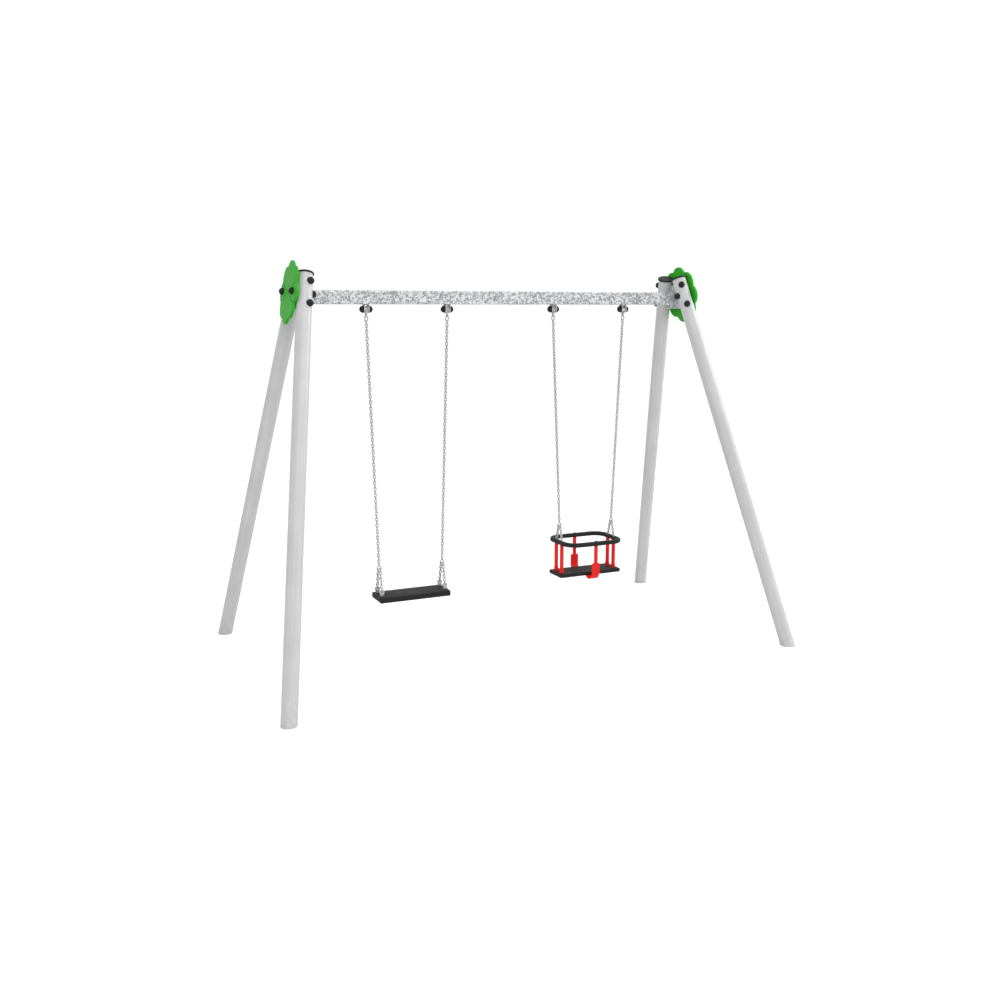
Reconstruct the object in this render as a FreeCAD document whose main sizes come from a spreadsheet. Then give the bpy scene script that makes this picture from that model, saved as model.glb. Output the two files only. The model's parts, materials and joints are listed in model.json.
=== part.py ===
import FreeCAD, Part
import math
import os
import Sketcher

# Two-bay public swing set: a flat rubber seat on the left half of the beam and a
# toddler cradle seat on the right half.  Origin on the ground below the middle of
# the beam, +X along the beam, -Y towards the front, +Z up.  Millimetres.

Vector = FreeCAD.Vector
Placement = FreeCAD.Placement
Rotation = FreeCAD.Rotation
X_AXIS = Vector(1, 0, 0)
Y_AXIS = Vector(0, 1, 0)
Z_AXIS = Vector(0, 0, 1)
ORIGIN = Vector(0, 0, 0)
NEAR = 1e-3
SAME = 1e-6

SIZES = {
    # frame stance
    "beam_height": 2181,
    "crown_reach": 3,
    "crown_half_depth": 122.5,
    "leg_spread_wide": 347,
    "leg_spread_deep": 759.5,
    "leg_top_rise": 124,
    "leg_diameter": 88.9,
    "leg_wall": 3.2,
    "leg_cap_diameter": 100,
    "leg_cap_rim": 10,
    "leg_cap_plug": 22,
    "leg_cap_chamfer": 2,
    "plug_gap": 0.2,
    "plug_wall": 3,
    # beam and its end brackets
    "beam_side": 80,
    "beam_wall": 4,
    "beam_corner": 8,
    "beam_length": 2518,
    "bracket_plate": 6,
    "bracket_drop": 65,
    "bracket_rise": 87,
    "wing_heading": 30,
    "wing_reach": 18,
    "bracket_bolt_drop": 43,
    "bracket_bolt_rise": 79,
    # fasteners
    "bolt_diameter": 12,
    "bolt_clearance": 0.5,
    "hex_flats": 19,
    "hex_head": 8,
    "nut_thick": 10,
    "bolt_tail": 3,
    "cap_diameter": 40,
    "cap_skirt": 9,
    "cap_dome": 15,
    "cap_hollow": 27,
    "cap_saddle": 6,
    "cap_head_room": 1,
    # flower panels
    "panel_rise": 17,
    "panel_gap": 6,
    "spacer_diameter": 32,
    "panel_thick": 16,
    "panel_round": 4,
    "petal_tip": 180,
    "petal_notch": 157,
    "groove_margin": 6,
    "panel_bolt_rise": 22,
    "groove_width": 6,
    "groove_deep": 2.5,
    "groove_angle": 22.5,
    "screw_spot": 9,
    "screw_spot_rise": 33,
    # hangers
    "swing_offset": 614,
    "hanger_half_span": 254,
    "hanger_gap": 22,
    "hanger_plate": 5,
    "hanger_wide": 44,
    "hanger_bend": 9,
    "pivot_drop": 28,
    "bearing_diameter": 34,
    "bearing_side_play": 0.6,
    "bush_wall": 3,
    "running_clearance": 0.08,
    "eye_thick": 8,
    "eye_drop": 38,
    "eye_radius": 11,
    "eye_hole": 12,
    # chain
    "wire": 6,
    "link_pitch": 18.5,
    "link_inside": 8,
    "link_play": 0.3,
    "shackle_wire": 7,
    "shackle_width": 26,
    "shackle_length": 39,
    "joining_wire": 6,
    "joining_length": 30,
    "joining_width": 35,
    "joining_shoulder": 5,
    "strand_offset": 6.8,
    # flat seat
    "flat_apex_height": 551,
    "flat_chain_half": 206,
    "flat_seat_length": 457,
    "flat_seat_depth": 174,
    "flat_seat_top": 393,
    "flat_seat_thick": 37,
    "flat_seat_crown": 4,
    "flat_seat_edge": 5,
    "slot_play": 1.5,
    "plate_overlap": 10,
    "seat_pin_half_depth": 44,
    "seat_pin_sink": 9,
    "seat_pin": 8,
    "seat_pin_length": 52,
    "lug_thick": 5,
    "lug_width": 34,
    "lug_rise": 45,
    "lug_foot": 7.5,
    "lug_shoulder": 6,
    "lug_eye": 10,
    "lug_bar": 6,
    "lug_bar_grip": 7.5,
    "seat_plate_thick": 3,
    # cradle seat
    "cradle_apex_height": 716,
    "cradle_chain_half": 195,
    "ring_height": 608,
    "ring_offset": 3,
    "ring_corner": 80,
    "ring_wide": 32,
    "ring_tall": 27,
    "ring_round": 9,
    "hoop_wire": 6,
    "hoop_drop": 9,
    "tie_half_depth": 38.5,
    "tie_rod": 8,
    "eye_wire": 6,
    "tie_eye_width": 20,
    "tie_eye_sink": 10,
    "well_wide": 15,
    "well_long": 42,
    "well_deep": 22,
    "sleeve_diameter": 25,
    "sleeve_collar": 29,
    "sleeve_collar_tall": 22,
    "cradle_seat_top": 407,
    "cradle_seat_thick": 24,
    "cradle_seat_length": 450,
    "cradle_seat_depth": 170,
    "paddle_drop": 12,
    "stem_half_depth": 146,
    "paddle_width": 56,
    "paddle_thick": 8,
    "paddle_top": 477,
    "paddle_bend": 52,
    "paddle_tuck": 38,
    "paddle_block": 22,
    "paddle_slope": 20,
    "paddle_slope_rise": 12,
    "ring_cap": 20,
    "ring_cap_rise": 6,
    "seat_nut_flats": 13,
    "seat_nut_thick": 8,
    "screw_diameter": 6,
    "screw_head": 12,
    "screw_head_thick": 4,
    "screw_length": 21,
    "seat_mid_height": 420,
    "paddle_round": 2.5,
    "seat_corner": 10,
    "seat_edge": 4,
    "plate_margin": 14,
}

# heights and widths that follow from the sizes above
DERIVED = {
    "crown_half_width": "=beam_length / 2 + crown_reach",
    "foot_half_width": "=crown_half_width + leg_spread_wide",
    "foot_half_depth": "=crown_half_depth + leg_spread_deep",
    "leg_top_height": "=beam_height + leg_top_rise",
    "bracket_bolt_low": "=beam_height - bracket_bolt_drop",
    "bracket_bolt_high": "=beam_height + bracket_bolt_rise",
    "panel_height": "=beam_height + panel_rise",
    "panel_bolt_height": "=beam_height + panel_bolt_rise",
    "pivot_height": "=beam_height - beam_side / 2 - pivot_drop",
    "link_width": "=2 * wire + link_inside",
}

doc = FreeCAD.newDocument("swing_set")
sheet = doc.addObject("Spreadsheet::Sheet", "sizes")
for row, (alias, number) in enumerate({**SIZES, **DERIVED}.items(), 1):
    sheet.set("A%d" % row, alias)
    sheet.set("B%d" % row, str(number))
    sheet.setAlias("B%d" % row, alias)
doc.recompute()

finished = []


def size(alias):
    """The number in one cell of the sheet."""
    return float(sheet.get(alias))


def bind(item, **formulas):
    """Tie properties of an object to formulas over the sheet."""
    for prop, formula in formulas.items():
        item.setExpression(prop, formula)
    return item


def keep(item, label):
    """Mark an object as a finished sub-part with its file name."""
    item.Label = label
    finished.append(item)
    return item


def facing(point, direction):
    """Placement whose local Z runs along direction."""
    return Placement(point, Rotation(Z_AXIS, direction))


def framed(point, x_dir, z_dir):
    """Placement with local X and Z given; z_dir is kept exactly."""
    y_dir = z_dir.cross(x_dir)
    return Placement(point, Rotation(y_dir.cross(z_dir), y_dir, z_dir, "ZXY"))


# ------------------------------------------------------------------ small makers


def rod(diameter, length, place):
    """Round bar; its length runs along the placement's Z."""
    item = doc.addObject("Part::Cylinder", "rod")
    bind(item, Radius="(%s) / 2" % diameter, Height=length)
    item.Placement = place
    return item


def block(x_size, y_size, z_size, corner):
    """Upright block from its lowest corner."""
    item = doc.addObject("Part::Box", "block")
    bind(item, Length=x_size, Width=y_size, Height=z_size)
    item.Placement = Placement(corner, Rotation())
    return item


def joined(*items):
    item = doc.addObject("Part::MultiFuse", "joined")
    item.Shapes = list(items)
    return item


def minus(base, *tools):
    item = doc.addObject("Part::Cut", "cut")
    item.Base = base
    item.Tool = tools[0] if len(tools) == 1 else joined(*tools)
    return item


def shared(base, tool):
    item = doc.addObject("Part::Common", "shared")
    item.Base = base
    item.Tool = tool
    return item


def group(items, label):
    """Several separate solids that share one node."""
    item = doc.addObject("Part::Compound", "group")
    item.Links = items
    return keep(item, label)


def mirrored(source, normal):
    item = doc.addObject("Part::Mirroring", "mirrored")
    item.Source = source
    item.Normal = normal
    return item


def plain(shape):
    """A shape made directly with Part's functions."""
    item = doc.addObject("Part::Feature", "shape")
    item.Shape = shape
    return item


# ------------------------------------------------------------------ frame geometry

beam_height = size("beam_height")
lean_x = (size("foot_half_width") - size("crown_half_width")) / beam_height
lean_y = (size("foot_half_depth") - size("crown_half_depth")) / beam_height
leg_radius = size("leg_diameter") / 2
leg_up = Vector(-lean_x, lean_y, 1).normalize()
side_up = Vector(-lean_x, 0, 1).normalize()
side_out = Y_AXIS.cross(side_up)


def leg_point(height):
    """Point on the axis of the front right leg at a height above ground."""
    x = size("foot_half_width") - lean_x * height
    y = lean_y * height - size("foot_half_depth")
    return Vector(x, y, height)


def wing_normal():
    """Direction of the bracket bolts of the front right leg, towards their heads."""
    heading = math.radians(size("wing_heading"))
    flat = Vector(-math.sin(heading), -math.cos(heading), 0)
    flat.z = -(flat.x * leg_up.x + flat.y * leg_up.y) / leg_up.z
    return flat.normalize()


bolt_dir = wing_normal()


def bracket_bolt_points():
    return [leg_point(size("bracket_bolt_low")), leg_point(size("bracket_bolt_high"))]


def panel_bolt_point():
    return leg_point(size("panel_bolt_height"))


# ------------------------------------------------------------------ legs


def leg_blank():
    """Front right leg: tube cut level at the ground, square at the top, drilled for bolts."""
    buried = leg_radius
    bottom = leg_point(0) - leg_up * buried
    length = (leg_point(size("leg_top_height")) - bottom).Length
    tube = minus(
        rod("sizes.leg_diameter", str(length), facing(bottom, leg_up)),
        rod("sizes.leg_diameter - 2 * sizes.leg_wall", str(length), facing(bottom, leg_up)),
    )
    hole = "sizes.bolt_diameter + 2 * sizes.bolt_clearance"
    reach = 2 * leg_radius
    holes = [
        rod(hole, str(2 * reach), facing(point - bolt_dir * reach, bolt_dir))
        for point in bracket_bolt_points()
    ]
    across = panel_bolt_point() - side_out * reach
    holes.append(rod(hole, str(2 * reach), facing(across, side_out)))
    drilled = minus(tube, *holes)
    foot = leg_point(0)
    ground = block(
        "4 * sizes.foot_half_depth",
        "4 * sizes.foot_half_depth",
        "2 * sizes.beam_height",
        Vector(foot.x - 2 * size("foot_half_depth"), foot.y - 2 * size("foot_half_depth"), 0),
    )
    return shared(drilled, ground)


def leg_cap_blank():
    """Black end cap: flat disc over the tube end with a ribbed plug inside it."""
    top = leg_point(size("leg_top_height"))
    disc = rod("sizes.leg_cap_diameter", "sizes.leg_cap_rim", facing(top, leg_up))
    below = top - leg_up * size("leg_cap_plug")
    bore = "sizes.leg_diameter - 2 * sizes.leg_wall"
    outer = bore + " - 2 * sizes.plug_gap"
    inner = outer + " - 2 * sizes.plug_wall"
    plug = rod(outer, "sizes.leg_cap_plug + sizes.leg_cap_rim / 2", facing(below, leg_up))
    hollow = rod(inner, "sizes.leg_cap_plug", facing(below, leg_up))
    rim = doc.addObject("Part::Chamfer", "rim")
    rim.Base = disc
    doc.recompute()
    top_edges = [
        index
        for index, edge in enumerate(disc.Shape.Edges, 1)
        if edge.Closed and (edge.CenterOfMass - top).dot(leg_up) > size("leg_cap_rim") / 2
    ]
    bevel = size("leg_cap_chamfer")
    rim.Edges = [(index, bevel, bevel) for index in top_edges]
    return joined(minus(plug, hollow), rim)


def four_corners(blank, name):
    """Front right piece and its mirror images at the other three legs."""
    rear_right = mirrored(blank, Y_AXIS)
    keep(blank, name + "_front_right")
    keep(rear_right, name + "_rear_right")
    keep(mirrored(blank, X_AXIS), name + "_front_left")
    keep(mirrored(rear_right, X_AXIS), name + "_rear_left")


# ------------------------------------------------------------------ sketches and bodies


def new_body():
    return doc.addObject("PartDesign::Body", "body")


def new_sketch(body, role):
    """Empty sketch on one of the body's own origin planes."""
    sketch = body.newObject("Sketcher::SketchObject", "sketch")
    plane = [item for item in body.Origin.OriginFeatures if item.Role == role][0]
    sketch.AttachmentSupport = [(plane, "")]
    sketch.MapMode = "FlatFace"
    return sketch


def rectangle(sketch, wide, tall):
    """Rectangle centred on the sketch origin, sized by formulas."""
    corners = [Vector(-5, -5, 0), Vector(5, -5, 0), Vector(5, 5, 0), Vector(-5, 5, 0)]
    for index in range(4):
        line = Part.LineSegment(corners[index], corners[(index + 1) % 4])
        sketch.addGeometry(line, False)
    for index in range(4):
        ends = Sketcher.Constraint("Coincident", index, 2, (index + 1) % 4, 1)
        sketch.addConstraint(ends)
    sketch.addConstraint(Sketcher.Constraint("Horizontal", 0))
    sketch.addConstraint(Sketcher.Constraint("Vertical", 1))
    sketch.addConstraint(Sketcher.Constraint("Horizontal", 2))
    sketch.addConstraint(Sketcher.Constraint("Vertical", 3))
    sketch.addConstraint(Sketcher.Constraint("Symmetric", 0, 1, 2, 1, -1, 1))
    width = sketch.addConstraint(Sketcher.Constraint("DistanceX", 0, 1, 0, 2, 10))
    height = sketch.addConstraint(Sketcher.Constraint("DistanceY", 1, 1, 1, 2, 10))
    sketch.setExpression("Constraints[%d]" % width, wide)
    sketch.setExpression("Constraints[%d]" % height, tall)
    return sketch


def circle(sketch, x, y, diameter):
    """Circle at a fixed place whose diameter is a formula."""
    index = sketch.addGeometry(Part.Circle(Vector(x, y, 0), Z_AXIS, 5), False)
    across = sketch.addConstraint(Sketcher.Constraint("Diameter", index, 10))
    sketch.setExpression("Constraints[%d]" % across, diameter)


def outline(sketch, edges):
    """Closed outline from line and arc curves."""
    for edge in edges:
        sketch.addGeometry(edge, False)
    return sketch


def pad(body, sketch, length, midplane=True):
    feature = body.newObject("PartDesign::Pad", "pad")
    feature.Profile = sketch
    feature.Midplane = midplane
    bind(feature, Length=length)
    doc.recompute()
    return feature


def pocket(body, sketch, depth, midplane=False):
    """Pocket that must remove material; it is turned round if it does not."""
    before = body.Shape.Volume
    feature = body.newObject("PartDesign::Pocket", "pocket")
    feature.Profile = sketch
    feature.Midplane = midplane
    bind(feature, Length=depth)
    doc.recompute()
    if abs(body.Shape.Volume - before) < SAME:
        feature.Reversed = True
        doc.recompute()
    if abs(body.Shape.Volume - before) < SAME:
        raise RuntimeError("a pocket cuts nothing")
    return feature


def round_edges(body, wanted, radius):
    """Fillet the edges of the body's shape for which wanted(edge) is true."""
    base = body.Tip
    names = ["Edge%d" % i for i, edge in enumerate(base.Shape.Edges, 1) if wanted(edge)]
    feature = body.newObject("PartDesign::Fillet", "fillet")
    feature.Base = (base, names)
    bind(feature, Radius=radius)
    doc.recompute()
    return feature


def runs_along(axis):
    """Test for straight edges parallel to an axis."""

    def test(edge):
        if edge.Curve.TypeId != "Part::GeomLine":
            return False
        return abs(edge.Curve.Direction.dot(axis)) > 0.999

    return test


# ------------------------------------------------------------------ beam and end brackets


def crossbeam():
    """Square tube with rounded corners, open at both ends behind the bracket webs."""
    body = new_body()
    side = "sizes.beam_side"
    inner = "sizes.beam_side - 2 * sizes.beam_wall"
    pad(body, rectangle(new_sketch(body, "YZ_Plane"), side, side), "sizes.beam_length")
    round_edges(body, runs_along(X_AXIS), "sizes.beam_corner")
    pocket(body, rectangle(new_sketch(body, "YZ_Plane"), inner, inner), "sizes.beam_length", True)
    body.Placement = Placement(Vector(0, 0, beam_height), Rotation())
    return keep(body, "crossbeam")


def bracket_section(height):
    """Level section of the right end bracket: a web with two flared wings."""
    plate = size("bracket_plate")
    web_x = size("beam_length") / 2
    axis = leg_point(height)
    away = bolt_dir * -1
    flat = math.hypot(away.x, away.y)
    along = Vector(away.y, -away.x, 0) * (1 / flat)
    contact = axis + Vector(away.x, away.y, 0) * (leg_radius / flat / flat)
    behind = axis + Vector(away.x, away.y, 0) * ((leg_radius + plate) / flat / flat)

    def at_x(start, x):
        return start + along * ((x - start.x) / along.x)

    front = [
        at_x(contact, web_x),
        contact + along * size("wing_reach"),
        behind + along * size("wing_reach"),
        at_x(behind, web_x + plate),
    ]
    back = [Vector(point.x, -point.y, point.z) for point in reversed(front)]
    ring = front + back
    return Part.makePolygon(ring + [ring[0]])


def end_bracket_blank():
    """Bent plate bracket that closes the right beam end and carries both legs."""
    low = beam_height - size("bracket_drop")
    high = beam_height + size("bracket_rise")
    sections = [bracket_section(low), bracket_section(high)]
    bent = plain(Part.makeLoft(sections, True, True))
    hole = "sizes.bolt_diameter + 2 * sizes.bolt_clearance"
    reach = 3 * leg_radius
    holes = []
    for point in bracket_bolt_points():
        for y_sign in (1, -1):
            start = Vector(point.x, y_sign * point.y, point.z)
            away = Vector(-bolt_dir.x, -y_sign * bolt_dir.y, -bolt_dir.z)
            holes.append(rod(hole, str(reach), facing(start, away)))
    return minus(bent, *holes)


# ------------------------------------------------------------------ flower panels


def petal_arcs():
    """Eight arcs that swell out between eight notches."""
    notch = size("petal_notch")
    tip = size("petal_tip")
    step = math.pi / 4

    def polar(radius, angle):
        return Vector(radius * math.cos(angle), radius * math.sin(angle), 0)

    return [
        Part.Arc(
            polar(notch, (index - 0.5) * step),
            polar(tip, index * step),
            polar(notch, (index + 0.5) * step),
        )
        for index in range(8)
    ]


def groove_outline(angle):
    """Slim closed bar across the panel through its centre."""
    half = size("groove_width") / 2
    reach = size("petal_notch") - size("groove_margin")
    turn = Rotation(Z_AXIS, angle)
    ring = [Vector(-reach, -half, 0), Vector(reach, -half, 0), Vector(reach, half, 0), Vector(-reach, half, 0)]
    ring = [turn.multVec(point) for point in ring]
    return [Part.LineSegment(ring[i], ring[(i + 1) % 4]) for i in range(4)]


def flower_panel_blank():
    """Right panel: eight petals, two crossing grooves, two screw recesses, two bolt holes."""
    body = new_body()
    pad(body, outline(new_sketch(body, "XY_Plane"), petal_arcs()), "sizes.panel_thick", False)
    thick = size("panel_thick")

    def on_rim(edge):
        return abs(edge.CenterOfMass.z) < NEAR or abs(edge.CenterOfMass.z - thick) < NEAR

    round_edges(body, on_rim, "sizes.panel_round")
    for angle in (size("groove_angle"), -size("groove_angle")):
        sketch = outline(new_sketch(body, "XY_Plane"), groove_outline(angle))
        sketch.AttachmentOffset = Placement(Vector(0, 0, thick), Rotation())
        pocket(body, sketch, "sizes.groove_deep")
    spots = new_sketch(body, "XY_Plane")
    spots.AttachmentOffset = Placement(Vector(0, 0, thick), Rotation())
    for sign in (1, -1):
        circle(spots, 0, sign * size("screw_spot_rise"), "sizes.screw_spot")
    pocket(body, spots, "sizes.groove_deep")
    bolt = panel_bolt_point()
    rise = (bolt.z - size("panel_height")) / side_up.z
    holes = new_sketch(body, "XY_Plane")
    for sign in (1, -1):
        circle(holes, sign * bolt.y, rise, "sizes.bolt_diameter + 2 * sizes.bolt_clearance")
    pocket(body, holes, "4 * sizes.panel_thick", True)
    axis = leg_point(size("panel_height"))
    centre = Vector(axis.x, 0, axis.z) + side_out * (leg_radius + size("panel_gap"))
    body.Placement = framed(centre, Y_AXIS, side_out)
    return body


# ------------------------------------------------------------------ fasteners


def hex_piece(thick, place):
    item = doc.addObject("Part::Prism", "hex")
    item.Polygon = 6
    bind(item, Circumradius="sizes.hex_flats / sqrt(3)", Height=thick)
    item.Placement = place
    return item


def bolt(head_seat, direction, grip):
    """Hex bolt: head seated at head_seat, pointing along direction with the given grip."""
    head_foot = head_seat - direction * size("hex_head")
    head = hex_piece("sizes.hex_head", facing(head_foot, direction))
    length = grip + size("nut_thick") + size("bolt_tail")
    shank = rod("sizes.bolt_diameter", str(length), facing(head_seat, direction))
    return joined(head, shank)


def nut(seat, direction):
    body = hex_piece("sizes.nut_thick", facing(seat, direction))
    return minus(body, rod("sizes.bolt_diameter", "sizes.nut_thick", facing(seat, direction)))


def dome_cap(seat, direction, sink, saddle=None):
    """Domed plastic cap, hollow over a bolt head; sink carries its skirt down a round tube."""
    start = seat - direction * sink
    skirt_length = size("cap_skirt") + sink
    skirt = rod("sizes.cap_diameter", str(skirt_length), facing(start, direction))
    radius = size("cap_diameter") / 2
    rise = size("cap_dome")
    ball_radius = (radius * radius + rise * rise) / (2 * rise)
    ball = doc.addObject("Part::Sphere", "dome")
    ball.Radius = ball_radius
    ball.Angle1 = math.degrees(math.asin(1 - rise / ball_radius))
    ball.Angle2 = 90
    top = seat + direction * size("cap_skirt")
    ball.Placement = facing(top - direction * (ball_radius - rise), direction)
    depth = sink + size("nut_thick") + size("bolt_tail") + size("cap_head_room")
    hollow = rod("sizes.cap_hollow", str(depth), facing(start, direction))
    tools = [hollow]
    if saddle is not None:
        tools.append(saddle)
    return minus(joined(skirt, ball), *tools)


def leg_solid(place):
    """Solid bar the size of a leg, to shape what sits on the tube."""
    return rod("sizes.leg_diameter", "2 * sizes.leg_top_height", place)


def corner_copies(items):
    """Front right pieces plus their images at the other three corners."""
    copies = list(items)
    for item in items:
        rear = mirrored(item, Y_AXIS)
        copies += [rear, mirrored(item, X_AXIS), mirrored(rear, X_AXIS)]
    return copies


def bracket_fasteners():
    """Bolts through each leg and bracket wing; returns the nuts for the shared node."""
    bolts = []
    nuts = []
    caps = []
    sink = size("cap_saddle")
    plate = size("bracket_plate")
    for point in bracket_bolt_points():
        seat = point + bolt_dir * leg_radius
        bolts.append(bolt(seat, bolt_dir * -1, 2 * leg_radius + plate))
        nuts.append(nut(point - bolt_dir * (leg_radius + plate), bolt_dir * -1))
        tube = leg_solid(facing(leg_point(0), leg_up))
        caps.append(dome_cap(seat, bolt_dir, sink, tube))
    group(corner_copies(bolts), "bracket_bolts")
    group(corner_copies(caps), "bracket_bolt_caps")
    return corner_copies(nuts)


def panel_fasteners():
    """Bolts through each leg and flower panel; returns the nuts for the shared node."""
    point = panel_bolt_point()
    seat = point - side_out * leg_radius
    build_up = size("panel_gap") + size("panel_thick")
    outside = point + side_out * (leg_radius + build_up)
    bolts = [bolt(seat, side_out, 2 * leg_radius + build_up)]
    tube = leg_solid(facing(leg_point(0), leg_up))
    caps = [dome_cap(seat, side_out * -1, size("cap_saddle"), tube), dome_cap(outside, side_out, 0)]
    start = point + side_out * (leg_radius - size("cap_saddle"))
    thick = size("cap_saddle") + size("panel_gap")
    spacer = rod("sizes.spacer_diameter", str(thick), facing(start, side_out))
    hole = rod("sizes.bolt_diameter + 2 * sizes.bolt_clearance", str(thick), facing(start, side_out))
    spacers = [minus(spacer, tube, hole)]
    group(corner_copies(spacers), "panel_spacers")
    group(corner_copies(bolts), "panel_bolts")
    group(corner_copies(caps), "panel_bolt_caps")
    return corner_copies([nut(outside, side_out)])


# ------------------------------------------------------------------ hangers

HANGERS = {
    "flat_left": -size("swing_offset") - size("hanger_half_span"),
    "flat_right": -size("swing_offset") + size("hanger_half_span"),
    "cradle_left": size("swing_offset") - size("hanger_half_span"),
    "cradle_right": size("swing_offset") + size("hanger_half_span"),
}


def u_profile():
    """Folded plate seen along Y: two lugs and a top web with round bends."""
    outer_x = size("hanger_gap") / 2 + size("hanger_plate")
    inner_x = size("hanger_gap") / 2
    top = beam_height - size("beam_side") / 2 - size("pivot_height")
    under = top - size("hanger_plate")
    bottom = -size("hanger_wide") / 2
    bend = size("hanger_bend")
    inner_bend = bend - size("hanger_plate")
    slope = math.sqrt(0.5)

    def arc(centre_x, centre_y, radius, sign):
        start = Vector(centre_x + sign * radius, centre_y, 0)
        middle = Vector(centre_x + sign * radius * slope, centre_y + radius * slope, 0)
        end = Vector(centre_x, centre_y + radius, 0)
        return Part.Arc(start, middle, end) if sign > 0 else Part.Arc(end, middle, start)

    right = outer_x - bend
    level = top - bend
    inner_level = under - inner_bend
    inner_right = inner_x - inner_bend
    return [
        Part.LineSegment(Vector(outer_x, bottom, 0), Vector(outer_x, level, 0)),
        arc(right, level, bend, 1),
        Part.LineSegment(Vector(right, top, 0), Vector(-right, top, 0)),
        arc(-right, level, bend, -1),
        Part.LineSegment(Vector(-outer_x, level, 0), Vector(-outer_x, bottom, 0)),
        Part.LineSegment(Vector(-outer_x, bottom, 0), Vector(-inner_x, bottom, 0)),
        Part.LineSegment(Vector(-inner_x, bottom, 0), Vector(-inner_x, inner_level, 0)),
        arc(-inner_right, inner_level, inner_bend, -1),
        Part.LineSegment(Vector(-inner_right, under, 0), Vector(inner_right, under, 0)),
        arc(inner_right, inner_level, inner_bend, 1),
        Part.LineSegment(Vector(inner_x, inner_level, 0), Vector(inner_x, bottom, 0)),
        Part.LineSegment(Vector(inner_x, bottom, 0), Vector(outer_x, bottom, 0)),
    ]


def hanger_bracket(name, x):
    """Folded bracket under the beam with round-ended lugs and a cross hole."""
    body = new_body()
    pad(body, outline(new_sketch(body, "XZ_Plane"), u_profile()), "sizes.hanger_wide")
    bore = new_sketch(body, "YZ_Plane")
    circle(bore, 0, 0, "sizes.bolt_diameter + 2 * sizes.bolt_clearance")
    pocket(body, bore, "4 * sizes.hanger_gap", True)
    body.Placement = Placement(Vector(x, 0, size("pivot_height")), Rotation())
    half = size("hanger_wide") / 2
    span = 4 * size("hanger_gap")
    start = Vector(x - span / 2, 0, size("pivot_height"))
    lug_round = rod("sizes.hanger_wide", str(span), facing(start, X_AXIS))
    above = block(str(span), "sizes.hanger_wide", "sizes.beam_height", start - Vector(0, half, 0))
    keep(shared(body, joined(lug_round, above)), "hanger_bracket_" + name)


def pivot_fasteners():
    """Pivot bolts, nuts and domed caps of the four hangers; returns the nuts."""
    bolts = []
    nuts = []
    caps = []
    half = size("hanger_gap") / 2 + size("hanger_plate")
    for x in HANGERS.values():
        left = Vector(x - half, 0, size("pivot_height"))
        right = Vector(x + half, 0, size("pivot_height"))
        bolts.append(bolt(left, X_AXIS, 2 * half))
        nuts.append(nut(right, X_AXIS))
        caps.append(dome_cap(left, X_AXIS * -1, 0))
        caps.append(dome_cap(right, X_AXIS, 0))
    group(bolts, "pivot_bolts")
    group(caps, "pivot_bolt_caps")
    return nuts


def bearing_width():
    return size("hanger_gap") - 2 * size("bearing_side_play")


def eye_centre(x):
    return Vector(x, 0, size("pivot_height") - size("eye_drop"))


def pivot_bearing(name, x):
    """Bearing housing round the pivot bolt with a flat eye below it."""
    pivot = Vector(x, 0, size("pivot_height"))
    wide = bearing_width()
    housing = rod("sizes.bearing_diameter", str(wide), facing(pivot - X_AXIS * (wide / 2), X_AXIS))
    thick = size("eye_thick")
    eye = eye_centre(x)
    tab = rod("2 * sizes.eye_radius", "sizes.eye_thick", facing(eye - X_AXIS * (thick / 2), X_AXIS))
    neck = block(
        "sizes.eye_thick",
        "2 * sizes.eye_radius",
        "sizes.eye_drop",
        eye - Vector(thick / 2, size("eye_radius"), 0),
    )
    bore = "sizes.bolt_diameter + 2 * sizes.bush_wall + 2 * sizes.running_clearance"
    bush_hole = rod(bore, str(2 * wide), facing(pivot - X_AXIS * wide, X_AXIS))
    eye_hole = rod("sizes.eye_hole", str(2 * thick), facing(eye - X_AXIS * thick, X_AXIS))
    keep(minus(joined(housing, tab, neck), bush_hole, eye_hole), "pivot_bearing_" + name)


def pivot_bush(x):
    """Plain bush pressed into the housing, running on the bolt."""
    wide = bearing_width()
    start = Vector(x - wide / 2, 0, size("pivot_height"))
    bore = "sizes.bolt_diameter + 2 * sizes.running_clearance"
    outer = rod(bore + " + 2 * sizes.bush_wall", str(wide), facing(start, X_AXIS))
    return minus(outer, rod(bore, str(wide), facing(start, X_AXIS)))


# ------------------------------------------------------------------ links and chain


def link_shape(length, width, wire):
    """Closed wire loop in the local XZ plane, long way along Z; outer length and width."""
    radius = (width - wire) / 2
    straight = (length - wire) / 2 - radius
    corners = [
        Vector(radius, 0, straight),
        Vector(-radius, 0, straight),
        Vector(-radius, 0, -straight),
        Vector(radius, 0, -straight),
    ]
    start = Vector(radius, 0, 0)
    edges = [
        Part.LineSegment(start, corners[0]),
        Part.Arc(corners[0], Vector(0, 0, straight + radius), corners[1]),
        Part.LineSegment(corners[1], corners[2]),
        Part.Arc(corners[2], Vector(0, 0, -straight - radius), corners[3]),
        Part.LineSegment(corners[3], start),
    ]
    return swept(edges, Part.makeCircle(wire / 2, start, Z_AXIS))


def swept(edges, section):
    """Solid made by carrying a closed section along a closed run of lines and arcs."""
    path = Part.Wire([edge.toShape() for edge in edges])
    return path.makePipeShell([Part.Wire(section)], True, False)


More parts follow.
